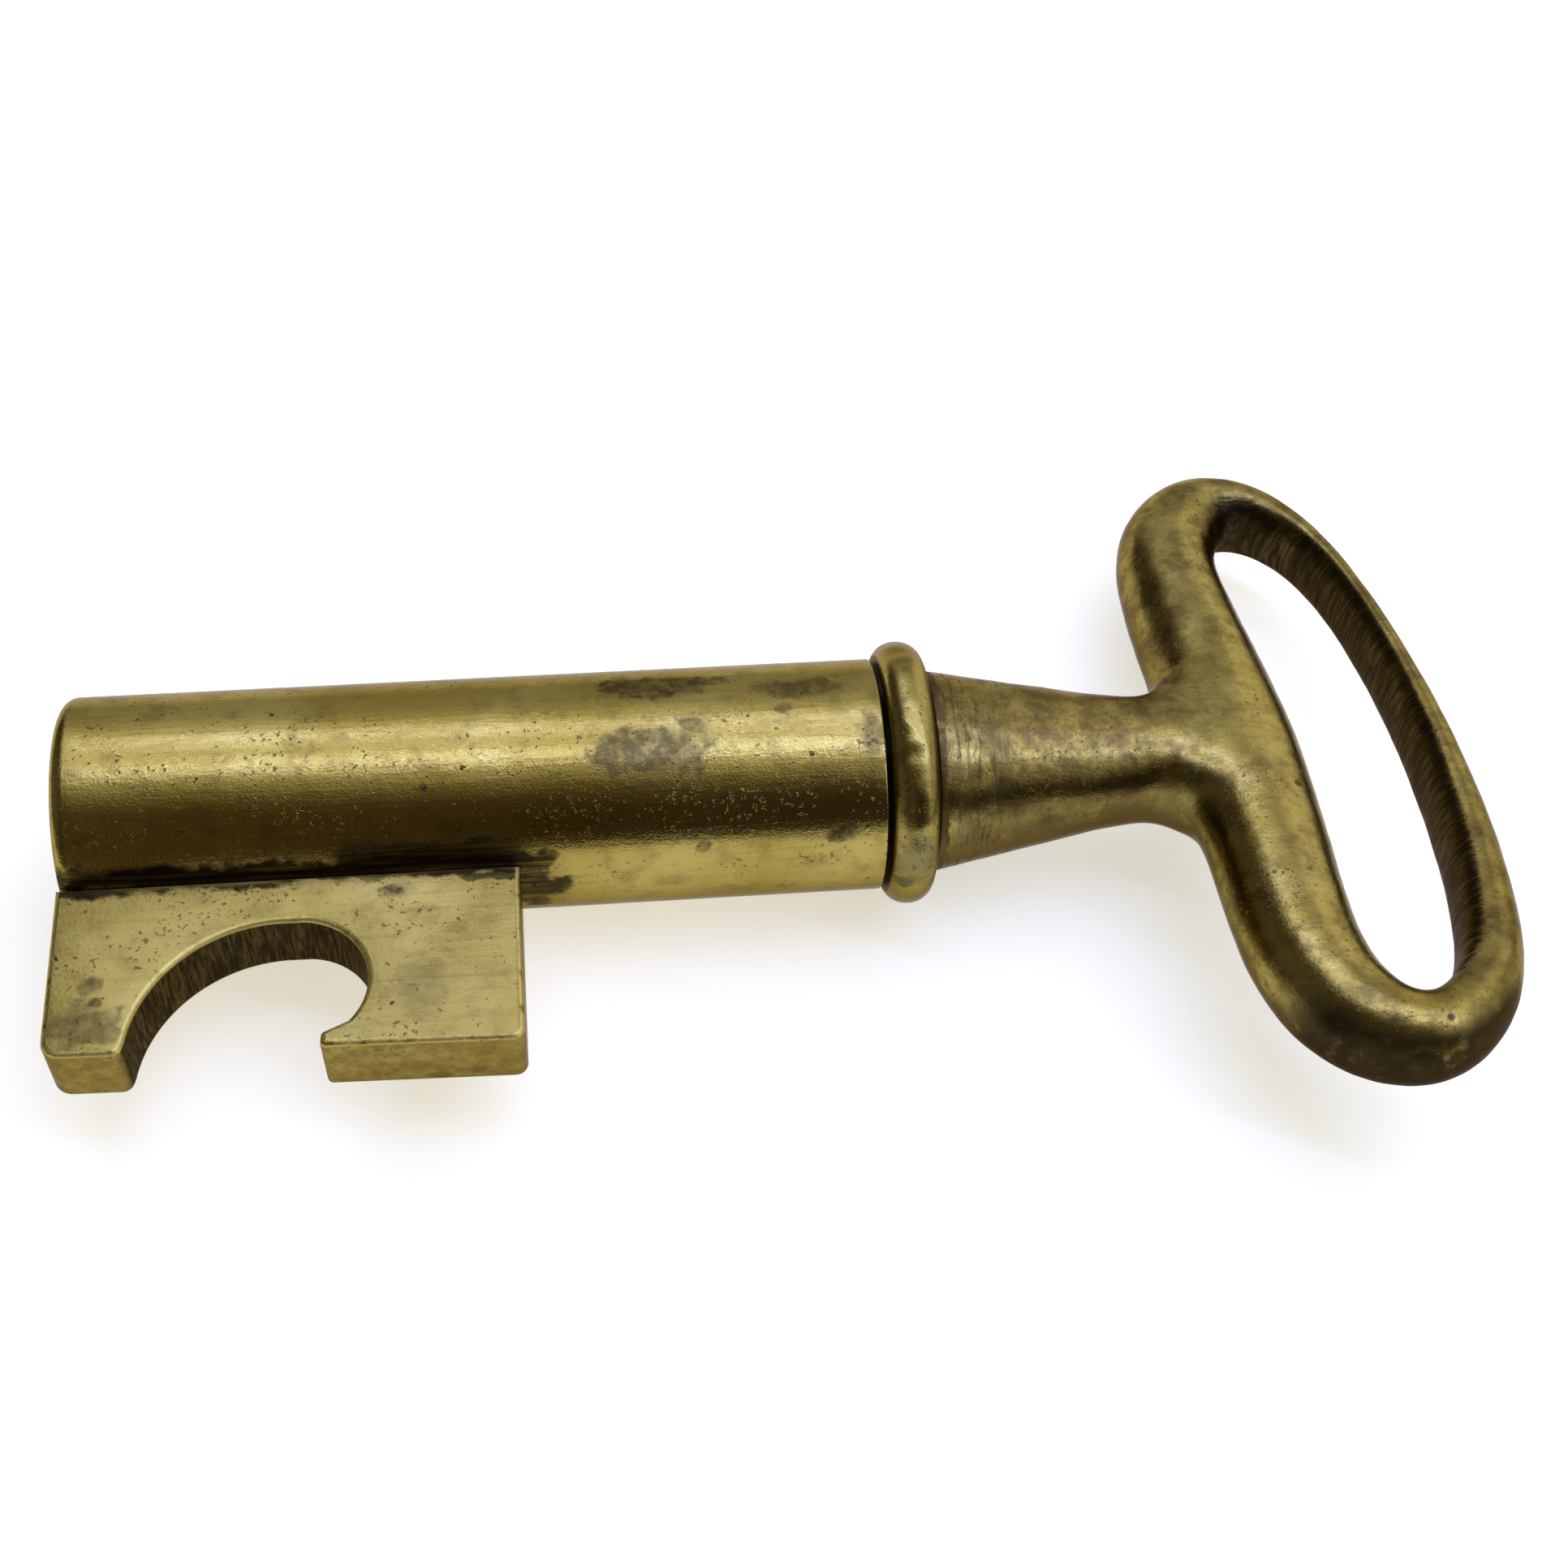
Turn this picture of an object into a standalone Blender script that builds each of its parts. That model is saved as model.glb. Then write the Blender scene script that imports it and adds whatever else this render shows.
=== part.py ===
"""Brass key that hides a corkscrew: the barrel unscrews from the bow and bares the worm.

X runs along the shaft from the closed end of the barrel to the bow, the opener bit
points to -Y, and the bow lies nearly in the XY plane. Lengths here are millimetres.
"""

import math

import bmesh
import bpy
from mathutils import Matrix, Vector

MM = 0.001
GAP = 0.3  # clearance left at every soldered, pressed or running joint

BARREL_LENGTH = 68.2
BARREL_RADIUS = 10.0
BORE_RADIUS = 6.6
PLUG_RADIUS = 7.6
PLUG_THICKNESS = 3.0
END_ROUND = 1.3

THREAD_PITCH = 1.5
THREAD_DEPTH = 0.65
THREAD_LENGTH = 7.5

BIT_LENGTH = 37.4
BIT_THICKNESS = 6.3
BIT_REACH_LEFT = 25.2
BIT_REACH_RIGHT = 26.1
CAP_ARC_RADIUS = 12.0
CAP_ARC_CENTRE = (18.3, -25.9)
HOOK_ARC_RADIUS = 5.7
HOOK_ARC_CENTRE = (19.4, -19.6)
HOOK_TIP = (21.5, -24.9)

RING_WIDTH = 4.0
RING_RADIUS = 11.4
RING_INNER_RADIUS = 6.6

NECK_BASE_RADIUS = 8.9
NECK_WAIST_RADIUS = 5.2
NECK_WAIST_X = 92.0
SOCKET_RADIUS = 5.3
SOCKET_DEPTH = 7.3

SPIGOT_RADIUS = 6.3
SPIGOT_TAIL_RADIUS = 5.0
SHANK_BORE_RADIUS = 1.7

WORM_WIRE_RADIUS = 1.4
WORM_COIL_RADIUS = 3.1
WORM_PITCH = 8.6
WORM_TIP_X = 7.0
WORM_COIL_START_X = 52.0

BOW_TILT = -6.0  # degrees the bow stands off the bit's plane when the thread is home
BOW_LEAN = -0.045  # sideways lean of the hand-finished loop

RING_START = BARREL_LENGTH + GAP
NECK_START = RING_START + RING_WIDTH + GAP

# The loop's stations, from the middle of the thin outer bar round the far end, along the
# thick inner bar and back round the near end, which is the heavier of the two. Each is
# centre x, centre y, half width in the plane, half height.
LOOP = [
    (117.9, 0.0, 1.9, 4.0),
    (117.7, 6.0, 1.7, 3.9),
    (117.2, 12.0, 1.6, 3.8),
    (116.5, 17.4, 1.5, 3.7),
    (115.4, 22.4, 1.6, 3.6),
    (114.0, 26.4, 1.8, 3.6),
    (111.9, 29.7, 2.2, 3.7),
    (109.0, 31.8, 2.8, 4.0),
    (105.4, 32.0, 3.8, 4.4),
    (102.4, 29.5, 4.7, 4.7),
    (100.4, 25.5, 4.9, 4.8),
    (99.9, 20.4, 5.1, 4.9),
    (100.1, 13.8, 5.4, 5.0),
    (100.4, 7.6, 5.6, 5.1),
    (100.7, 0.0, 5.7, 5.2),
    (100.3, -7.6, 5.6, 5.1),
    (100.0, -13.8, 5.4, 5.0),
    (99.7, -20.4, 5.2, 4.9),
    (100.2, -25.5, 5.2, 4.9),
    (102.2, -29.6, 4.8, 4.8),
    (105.4, -31.9, 3.9, 4.6),
    (108.9, -31.8, 3.3, 4.5),
    (111.9, -29.7, 3.0, 4.3),
    (114.2, -26.6, 2.8, 4.2),
    (115.7, -22.5, 2.6, 4.1),
    (116.7, -17.5, 2.4, 4.0),
    (117.4, -12.0, 2.3, 4.0),
    (117.8, -6.0, 2.1, 4.0),
]
NECK_STATION = 14  # the station opposite the shaft

for stale in list(bpy.data.objects):
    bpy.data.objects.remove(stale, do_unlink=True)


def brass(name, colour, roughness):
    """A plain metal of one colour."""
    material = bpy.data.materials.new(name)
    material.use_nodes = True
    shader = material.node_tree.nodes["Principled BSDF"]
    shader.inputs["Base Color"].default_value = (*colour, 1.0)
    shader.inputs["Metallic"].default_value = 1.0
    shader.inputs["Roughness"].default_value = roughness
    return material


def finish(mesh_builder, name, material, smooth=True):
    """Turns a bmesh in millimetres into a named object in metres."""
    bmesh.ops.recalc_face_normals(mesh_builder, faces=mesh_builder.faces)
    bmesh.ops.scale(mesh_builder, vec=(MM, MM, MM), verts=mesh_builder.verts)
    mesh = bpy.data.meshes.new(name)
    mesh_builder.to_mesh(mesh)
    mesh_builder.free()
    item = bpy.data.objects.new(name, mesh)
    bpy.context.scene.collection.objects.link(item)
    mesh.materials.append(material)
    for face in mesh.polygons:
        face.use_smooth = smooth
    return item


def as_cutter(item):
    """Keeps a helper out of the renders and shows it as wire."""
    item.hide_render = True
    item.display_type = "WIRE"
    return item


def cut(item, cutter):
    """Takes one closed body away from another."""
    boolean = item.modifiers.new("cut " + cutter.name, "BOOLEAN")
    boolean.operation = "DIFFERENCE"
    boolean.solver = "EXACT"
    boolean.object = cutter


def bridge(builder, first, second):
    """Joins two rings of vertices with a band of quads."""
    count = len(first)
    for i in range(count):
        after = (i + 1) % count
        builder.faces.new((first[i], first[after], second[after], second[i]))


def turned(name, rows, material, steps, closed=False):
    """A body of revolution about X. A row is (x, radius); radius may be a function of angle.

    An open profile is closed by a flat face at each end; a closed one makes a tube.
    """
    builder = bmesh.new()
    rings = []
    for x, radius in rows:
        ring = []
        for step in range(steps):
            angle = 2 * math.pi * step / steps
            r = radius(angle) if callable(radius) else radius
            ring.append(builder.verts.new((x, r * math.cos(angle), r * math.sin(angle))))
        rings.append(ring)
    for first, second in zip(rings, rings[1:]):
        bridge(builder, first, second)
    if closed:
        bridge(builder, rings[-1], rings[0])
    else:
        builder.faces.new(rings[0])
        builder.faces.new(rings[-1])
    return finish(builder, name, material)


def thread_rows(start, length, base, depth, rows_per_pitch=4):
    """Rows whose radius rises and falls as a right-hand thread, fading in at both ends."""
    count = round(length / THREAD_PITCH * rows_per_pitch)

    def row(i):
        x = start + length * i / count
        fade = min(1.0, i / rows_per_pitch, (count - i) / rows_per_pitch)

        def radius(angle):
            phase = (x / THREAD_PITCH - angle / (2 * math.pi)) % 1.0
            return base + depth * fade * (1 - abs(2 * phase - 1))

        return x, radius

    return [row(i) for i in range(count + 1)]


def rounded_outline(corners, steps=5):
    """A closed outline. Each corner is (x, y, radius) and is replaced by an arc."""
    points = []
    count = len(corners)
    for i, (x, y, radius) in enumerate(corners):
        here = Vector((x, y))
        if radius == 0:
            points.append(here)
            continue
        before = (Vector(corners[i - 1][:2]) - here).normalized()
        after = (Vector(corners[(i + 1) % count][:2]) - here).normalized()
        half = before.angle(after) / 2
        reach = radius / math.tan(half)
        centre = here + (before + after).normalized() * (radius / math.sin(half))
        first = here + before * reach - centre
        second = here + after * reach - centre
        sweep = first.angle_signed(second)
        for step in range(steps + 1):
            spun = first.copy()
            spun.rotate(Matrix.Rotation(-sweep * step / steps, 2))
            points.append(centre + spun)
    return points


def arc(centre, radius, first_degrees, last_degrees, steps):
    """Corners of zero rounding along an arc."""
    found = []
    for step in range(steps + 1):
        angle = math.radians(first_degrees + (last_degrees - first_degrees) * step / steps)
        x = centre[0] + radius * math.cos(angle)
        y = centre[1] + radius * math.sin(angle)
        found.append((x, y, 0))
    return found


def plate(name, outline, low, high, material):
    """A flat plate between two heights."""
    builder = bmesh.new()
    bottom = [builder.verts.new((p[0], p[1], low)) for p in outline]
    top = [builder.verts.new((p[0], p[1], high)) for p in outline]
    bridge(builder, bottom, top)
    builder.faces.new(bottom)
    builder.faces.new(top)
    return finish(builder, name, material, smooth=False)


def swept_wire(name, stations, material, sides=8):
    """A round wire along stations of (point, radius), closed by a flat face at each end."""
    builder = bmesh.new()
    rings = []
    for i, (point, radius) in enumerate(stations):
        before = stations[max(i - 1, 0)][0]
        after = stations[min(i + 1, len(stations) - 1)][0]
        along = (after - before).normalized()
        out = Vector((0, 0, 1)) - along * along.z
        if out.length < 0.2:
            out = Vector((0, 1, 0)) - along * along.y
        out.normalize()
        side = along.cross(out)
        ring = []
        for k in range(sides):
            angle = 2 * math.pi * k / sides
            offset = out * math.cos(angle) + side * math.sin(angle)
            ring.append(builder.verts.new(point + offset * radius))
        rings.append(ring)
    for first, second in zip(rings, rings[1:]):
        bridge(builder, first, second)
    builder.faces.new(rings[0])
    builder.faces.new(rings[-1])
    return finish(builder, name, material)


# Barrel: a thick brass tube, rounded at the bit end and tapped at the mouth.
barrel_rows = [
    (0.0, PLUG_RADIUS + GAP),
    (0.0, BARREL_RADIUS - END_ROUND),
    (0.1, BARREL_RADIUS - 0.62 * END_ROUND),
    (0.38, BARREL_RADIUS - 0.29 * END_ROUND),
    (0.8, BARREL_RADIUS - 0.08 * END_ROUND),
    (END_ROUND, BARREL_RADIUS),
    (BARREL_LENGTH / 2, BARREL_RADIUS),
    (BARREL_LENGTH - 0.7, BARREL_RADIUS),
    (BARREL_LENGTH - 0.25, BARREL_RADIUS - 0.2),
    (BARREL_LENGTH, BARREL_RADIUS - 0.7),
    (BARREL_LENGTH, BORE_RADIUS + 0.4),
]
tapped = thread_rows(BARREL_LENGTH - 0.4, -THREAD_LENGTH, BORE_RADIUS, THREAD_DEPTH)
barrel_rows += tapped
barrel_rows += [
    (BARREL_LENGTH / 2, BORE_RADIUS),
    (PLUG_THICKNESS + GAP, BORE_RADIUS),
    (PLUG_THICKNESS + GAP, PLUG_RADIUS + GAP),
]
barrel = turned(
    "barrel", barrel_rows, brass("barrel_brass", (0.46, 0.36, 0.13), 0.32), 40, closed=True
)

# End plug: a disc soldered into the bit end of the tube.
plug_rows = [
    (0.0, PLUG_RADIUS - 0.3),
    (0.15, PLUG_RADIUS),
    (PLUG_THICKNESS, PLUG_RADIUS),
]
turned("end_plug", plug_rows, brass("plug_brass", (0.44, 0.34, 0.13), 0.4), 40)

# Opener bit: a plate brazed along the barrel, cut out to grip and lever a crown cap.
outline_corners = [
    (0.0, -7.0, 0),
    (0.0, -BIT_REACH_LEFT, 1.6),
    (6.1, -BIT_REACH_LEFT - 0.15, 0.9),
]
outline_corners += arc(CAP_ARC_CENTRE, CAP_ARC_RADIUS, 172, 92, 14)
outline_corners += arc(HOOK_ARC_CENTRE, HOOK_ARC_RADIUS, 84, -42, 12)
outline_corners += [
    (HOOK_TIP[0], HOOK_TIP[1] + 0.5, 0.5),
    (HOOK_TIP[0] - 0.1, -BIT_REACH_RIGHT + 0.4, 0.5),
    (BIT_LENGTH, -BIT_REACH_RIGHT, 1.0),
    (BIT_LENGTH, -7.0, 0),
]
bit = plate(
    "opener_bit",
    rounded_outline(outline_corners),
    -BIT_THICKNESS / 2,
    BIT_THICKNESS / 2,
    brass("bit_brass", (0.5, 0.4, 0.16), 0.38),
)
softened = bit.modifiers.new("softened edges", "BEVEL")
softened.width = 0.45 * MM
softened.segments = 2
softened.limit_method = "ANGLE"
softened.angle_limit = math.radians(50)
saddle = turned(
    "bit_saddle_cutter",
    [(-5.0, BARREL_RADIUS + GAP), (BIT_LENGTH + 5.0, BARREL_RADIUS + GAP)],
    bit.data.materials[0],
    72,
)
cut(bit, as_cutter(saddle))

# Collar ring: a round bead trapped between the barrel's mouth and the neck.
ring_rows = [(RING_START, RING_INNER_RADIUS)]
bead_centre = RING_START + RING_WIDTH / 2
for step in range(11):
    angle = math.pi * step / 10
    bead_x = bead_centre - RING_WIDTH / 2 * math.cos(angle)
    ring_rows.append((bead_x, RING_RADIUS - RING_WIDTH / 2 * (1 - math.sin(angle))))
ring_rows.append((RING_START + RING_WIDTH, RING_INNER_RADIUS))
turned(
    "collar_ring",
    ring_rows,
    brass("ring_brass", (0.42, 0.34, 0.15), 0.35),
    48,
    closed=True,
)

# Threaded spigot: a turned stub, its tail in the neck's socket and its thread in the barrel.
spigot_end = BARREL_LENGTH - THREAD_LENGTH - 0.2
spigot_rows = [
    (NECK_START + SOCKET_DEPTH - GAP, SHANK_BORE_RADIUS),
    (NECK_START + SOCKET_DEPTH - GAP, SPIGOT_TAIL_RADIUS - 0.4),
    (NECK_START + SOCKET_DEPTH - GAP - 0.4, SPIGOT_TAIL_RADIUS),
    (NECK_START - GAP, SPIGOT_TAIL_RADIUS),
    (NECK_START - GAP, SPIGOT_RADIUS),
]
spigot_rows += thread_rows(
    BARREL_LENGTH - 0.2, -THREAD_LENGTH + 0.4, SPIGOT_RADIUS, -THREAD_DEPTH
)
spigot_rows += [
    (spigot_end, SPIGOT_RADIUS - 0.8),
    (spigot_end, SHANK_BORE_RADIUS),
]
turned(
    "threaded_spigot",
    spigot_rows,
    brass("spigot_brass", (0.55, 0.43, 0.2), 0.3),
    32,
    closed=True,
)

# Worm: one steel wire, a straight shank in the spigot and then an open coil to a point.
coil_length = WORM_COIL_START_X - WORM_TIP_X
coil_turns = coil_length / WORM_PITCH
worm_stations = []
for x in (NECK_START + 5.5, BARREL_LENGTH - 4.0, WORM_COIL_START_X + 5.5):
    worm_stations.append((Vector((x, 0, 0)), WORM_WIRE_RADIUS))
steps_per_turn = 18
lead_in_turns = 0.5
steps = round((coil_turns + lead_in_turns) * steps_per_turn)
for step in range(steps + 1):
    turn = step / steps_per_turn - lead_in_turns
    grown = min(1.0, (turn + lead_in_turns) / lead_in_turns)
    grown = grown * grown * (3 - 2 * grown)
    angle = 2 * math.pi * turn
    x = WORM_COIL_START_X - WORM_PITCH * turn
    coil = WORM_COIL_RADIUS * grown
    left = (steps - step) / steps_per_turn
    taper = min(1.0, 0.12 + 1.1 * left)
    place = Vector((x, coil * math.cos(angle), -coil * math.sin(angle)))
    worm_stations.append((place, WORM_WIRE_RADIUS * taper))
swept_wire("worm", worm_stations, brass("worm_steel", (0.5, 0.5, 0.5), 0.3))

# Bow handle: one casting, a tapering neck that flows into a flattened loop.
LOOP_SWELL = 1.08  # the surface sinks this much inside its cage of points
NECK_SWELL = 1.035
SIDES = 8


def loop_rings(builder, stations):
    """A ring of eight points at each station; point 0 is on the outer side, 2 is on top."""
    rings = []
    count = len(stations)
    for i, (x, y, wide, high) in enumerate(stations):
        before = stations[i - 1]
        after = stations[(i + 1) % count]
        along = Vector((after[0] - before[0], after[1] - before[1])).normalized()
        out = Vector((along.y, -along.x))
        ring = []
        for k in range(SIDES):
            angle = 2 * math.pi * k / SIDES
            across = math.cos(angle) * wide * LOOP_SWELL
            up = math.sin(angle) * high * LOOP_SWELL
            flat = Vector((x, y)) + out * across
            ring.append(builder.verts.new((flat.x + BOW_LEAN * flat.y, flat.y, up)))
        rings.append(ring)
    return rings


def neck_ring(builder, x, radius):
    """A ring of twelve points about the shaft."""
    ring = []
    for j in range(12):
        angle = math.radians(30 * j)
        r = radius * NECK_SWELL
        ring.append(builder.verts.new((x, r * math.cos(angle), r * math.sin(angle))))
    return ring


cage = bmesh.new()
rings = loop_rings(cage, LOOP)
middle = NECK_STATION
patch_sides = (6, 7, 0, 1)
for i, ring in enumerate(rings):
    following = rings[(i + 1) % len(rings)]
    for k in range(SIDES):
        if i in (middle - 1, middle) and k in patch_sides:
            continue
        after = (k + 1) % SIDES
        cage.faces.new((ring[k], ring[after], following[after], following[k]))
left_over = [rings[middle][k] for k in (7, 0, 1)]
bmesh.ops.delete(cage, geom=left_over, context="VERTS")
far, near, root = rings[middle - 1], rings[middle + 1], rings[middle]
seat = [far[0], far[1], far[2], root[2], near[2], near[1]]
seat += [near[0], near[7], near[6], root[6], far[6], far[7]]

waist = neck_ring(cage, NECK_WAIST_X, NECK_WAIST_RADIUS)
flare = []
for low, high in zip(waist, seat):
    mixed = low.co.lerp(high.co, 0.38)
    mixed.x = min(mixed.x, NECK_WAIST_X + 3.4)
    flare.append(cage.verts.new(mixed))
bridge(cage, seat, flare)
bridge(cage, flare, waist)
previous = waist
slope = (NECK_BASE_RADIUS - NECK_WAIST_RADIUS) / (NECK_WAIST_X - NECK_START)
for x in (NECK_START + 10.0, NECK_START + 1.2, NECK_START + 0.25):
    ring = neck_ring(cage, x, NECK_WAIST_RADIUS + slope * (NECK_WAIST_X - x))
    bridge(cage, previous, ring)
    previous = ring
for x, radius in ((NECK_START, NECK_BASE_RADIUS - 0.2), (NECK_START, NECK_BASE_RADIUS - 1.2)):
    ring = neck_ring(cage, x, radius)
    bridge(cage, previous, ring)
    previous = ring
cage.faces.new(previous)
bmesh.ops.rotate(
    cage,
    cent=(0, 0, 0),
    matrix=Matrix.Rotation(math.radians(BOW_TILT), 3, "X"),
    verts=cage.verts,
)
handle = finish(cage, "bow_handle", brass("handle_brass", (0.4, 0.31, 0.13), 0.35))
rounding = handle.modifiers.new("cast rounding", "SUBSURF")
rounding.levels = 1
rounding.render_levels = 1
socket = turned(
    "socket_cutter",
    [(NECK_START - 3.0, SOCKET_RADIUS), (NECK_START + SOCKET_DEPTH, SOCKET_RADIUS)],
    handle.data.materials[0],
    32,
)
cut(handle, as_cutter(socket))
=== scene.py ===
"""A brass key whose barrel unscrews from its bow and bares a corkscrew.

X runs along the shaft from the closed end of the barrel to the bow, the opener bit points
to -Y and the bow lies nearly in the XY plane. Lengths are millimetres until a piece is made.
"""

import math

import bmesh
import bpy
from mathutils import Matrix, Vector, noise


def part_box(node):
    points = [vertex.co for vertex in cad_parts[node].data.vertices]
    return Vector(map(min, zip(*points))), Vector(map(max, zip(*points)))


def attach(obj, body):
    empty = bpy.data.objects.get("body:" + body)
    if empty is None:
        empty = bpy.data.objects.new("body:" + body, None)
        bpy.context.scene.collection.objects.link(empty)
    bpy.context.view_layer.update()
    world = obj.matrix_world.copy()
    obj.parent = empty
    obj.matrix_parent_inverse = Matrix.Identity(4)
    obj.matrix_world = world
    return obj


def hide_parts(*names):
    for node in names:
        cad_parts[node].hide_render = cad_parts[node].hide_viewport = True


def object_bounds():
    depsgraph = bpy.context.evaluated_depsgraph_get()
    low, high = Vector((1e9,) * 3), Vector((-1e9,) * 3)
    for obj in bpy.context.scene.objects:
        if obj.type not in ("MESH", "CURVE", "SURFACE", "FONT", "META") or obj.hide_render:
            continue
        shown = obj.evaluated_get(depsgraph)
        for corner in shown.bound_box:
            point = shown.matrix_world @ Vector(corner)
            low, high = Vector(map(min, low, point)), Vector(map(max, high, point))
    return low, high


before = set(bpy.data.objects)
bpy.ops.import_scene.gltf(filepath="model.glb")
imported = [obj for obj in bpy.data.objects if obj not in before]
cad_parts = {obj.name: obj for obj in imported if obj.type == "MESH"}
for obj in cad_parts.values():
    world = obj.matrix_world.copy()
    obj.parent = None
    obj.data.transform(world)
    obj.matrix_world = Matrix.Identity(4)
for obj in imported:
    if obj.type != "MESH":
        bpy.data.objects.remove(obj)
cad_low, cad_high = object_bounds()

# ---------------------------------------------------------------------------------------
# Barrel. A thick brass tube that sheathes the corkscrew: turned, rounded at its closed end
# and tapped inside its mouth. The bare brass has browned, and handling has polished it again.

MM = 0.001
barrel_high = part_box("barrel")[1]
barrel_length = barrel_high.x / MM
barrel_radius = barrel_high.z / MM
bore_radius = 6.6
plug_hole_radius = 7.9
plug_hole_depth = 3.3
closed_end_rounding = 1.3
mouth_rounding = 0.3
thread_pitch = 1.5
thread_depth = 0.65
tapped_length = 7.5
thread_setback = 0.4  # from the mouth to the first turn
mouth_chamfer = 0.5
barrel_waviness = 0.02
waves_per_mm = 0.16
rows_along = 64
barrel_steps = 160

LIGHT_BRASS = (0.395, 0.317, 0.084)
OLIVE_BRASS = (0.32, 0.245, 0.052)
BROWNED_BRASS = (0.160, 0.108, 0.030)
# Dark oxide for specks and pits, laid on too as painted shade in creases, under parts and on inner
# walls.
OXIDE_AND_SHADE = (0.022, 0.014, 0.008)
GREY_BROWN = (0.046, 0.032, 0.016)
# Worn brass, laid on the filed bevels as wear and as a painted highlight.
WORN_AND_SHEEN_BRASS = (0.62, 0.51, 0.15)
# A brown film, laid on the undersides too, where it is painted shade as well.
FILM_AND_SHADE_BROWN = (0.112, 0.076, 0.026)
VERDIGRIS = (0.085, 0.105, 0.062)
EDGE_GLINT = (0.55, 0.50, 0.46)  # what bare metal shows at a glancing angle


def bridge(builder, first, second):
    """Joins two rings of vertices with a band of quads."""
    count = len(first)
    for i in range(count):
        after = (i + 1) % count
        builder.faces.new((first[i], first[after], second[after], second[i]))


def make_piece(builder, name, sharp_degrees=40):
    """Turns a bmesh in millimetres into a smooth named object in metres."""
    bmesh.ops.recalc_face_normals(builder, faces=builder.faces)
    bmesh.ops.scale(builder, vec=(MM, MM, MM), verts=builder.verts)
    mesh = bpy.data.meshes.new(name)
    builder.to_mesh(mesh)
    builder.free()
    item = bpy.data.objects.new(name, mesh)
    bpy.context.scene.collection.objects.link(item)
    soften(mesh, sharp_degrees)
    return item


def soften(mesh, sharp_degrees):
    """Smooth shading that still keeps the edges sharper than this angle."""
    mesh.polygons.foreach_set("use_smooth", [True] * len(mesh.polygons))
    mesh.set_sharp_from_angle(angle=math.radians(sharp_degrees))
    mesh.update()


def turned(name, rows, steps, closed=False):
    """A body of revolution about X. A row is (x, radius); radius may be a function of angle."""
    builder = bmesh.new()
    rings = []
    for x, radius in rows:
        ring = []
        for step in range(steps):
            angle = 2 * math.pi * step / steps
            r = radius(angle) if callable(radius) else radius
            ring.append(builder.verts.new((x, r * math.cos(angle), r * math.sin(angle))))
        rings.append(ring)
    for first, second in zip(rings, rings[1:]):
        bridge(builder, first, second)
    if closed:
        bridge(builder, rings[-1], rings[0])
    else:
        builder.faces.new(rings[0])
        builder.faces.new(rings[-1])
    return make_piece(builder, name)


def uneven(x, radius, depth, per_mm):
    """A hand-finished radius that dips a little below the true one."""

    def at(angle):
        spot = Vector((x, radius * math.cos(angle), radius * math.sin(angle))) * per_mm
        return radius - depth * (0.5 + 0.5 * noise.noise(spot))

    return at


def thread_rows(start, length, base, depth, rows_per_pitch=12):
    """Rows of a right-hand thread that fades in at both ends."""
    count = abs(round(length / thread_pitch * rows_per_pitch))

    def row(i):
        x = start + length * i / count
        fade = min(1.0, i / rows_per_pitch, (count - i) / rows_per_pitch)

        def radius(angle):
            phase = (x / thread_pitch - angle / (2 * math.pi)) % 1.0
            # A sharp tooth with its crest cut flat and its root filled a little.
            ridge = min(1.0, max(0.0, 1.15 * (1 - abs(2 * phase - 1)) - 0.07))
            return base + depth * fade * ridge

        return x, radius

    return [row(i) for i in range(count + 1)]


def quarter(x, radius, size, inward, steps=8):
    """Rows of a quarter round; inward is -1 where the body lies to the left of x."""
    rows = []
    for step in range(steps + 1):
        turn = math.pi / 2 * step / steps
        drop = size * (1 - math.sin(turn))
        rows.append((x + inward * size * (1 - math.cos(turn)), radius - drop))
    return rows


barrel_rows = [(0.0, plug_hole_radius), (0.0, plug_hole_radius + 0.3)]
barrel_rows += quarter(0.0, barrel_radius, closed_end_rounding, 1)
run = barrel_length - closed_end_rounding - mouth_rounding
for step in range(1, rows_along):
    barrel_rows.append((closed_end_rounding + run * step / rows_along, barrel_radius))
barrel_rows += quarter(barrel_length, barrel_radius, mouth_rounding, -1, 6)[::-1]
barrel_rows.append((barrel_length, bore_radius + mouth_chamfer))
barrel_rows = [(x, uneven(x, r, barrel_waviness, waves_per_mm)) for x, r in barrel_rows]
thread_start = barrel_length - thread_setback
barrel_rows += thread_rows(thread_start, -tapped_length, bore_radius, thread_depth)
barrel_rows += [
    (barrel_length / 2, bore_radius),
    (plug_hole_depth, bore_radius),
    (plug_hole_depth, plug_hole_radius),
]
barrel = turned("barrel_tube", barrel_rows, barrel_steps, closed=True)


def add(tree, kind, feeds=None, **settings):
    """Adds a node; feeds give an input a fixed value or another node's output."""
    made = tree.nodes.new("ShaderNode" + kind)
    for key, value in settings.items():
        setattr(made, key, value)
    for key, value in (feeds or {}).items():
        if isinstance(value, bpy.types.NodeSocket):
            tree.links.new(value, made.inputs[key])
        else:
            made.inputs[key].default_value = value
    return made


def arithmetic(tree, operation, *values):
    """One arithmetic step between numbers or sockets."""
    made = add(tree, "Math", dict(enumerate(values)), operation=operation)
    return made.outputs[0]


def times(tree, first, *factors):
    """The product of numbers or sockets."""
    for factor in factors:
        first = arithmetic(tree, "MULTIPLY", first, factor)
    return first


def larger(tree, first, second):
    """The larger of two numbers or sockets, which also joins two masks."""
    return arithmetic(tree, "MAXIMUM", first, second)


def scaled(tree, value, factor, plus):
    """value times factor, plus a third."""
    return arithmetic(tree, "MULTIPLY_ADD", value, factor, plus)


def vector_step(tree, operation, first, second):
    """One arithmetic step between two vectors."""
    return add(tree, "VectorMath", {0: first, 1: second}, operation=operation).outputs[0]


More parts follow.
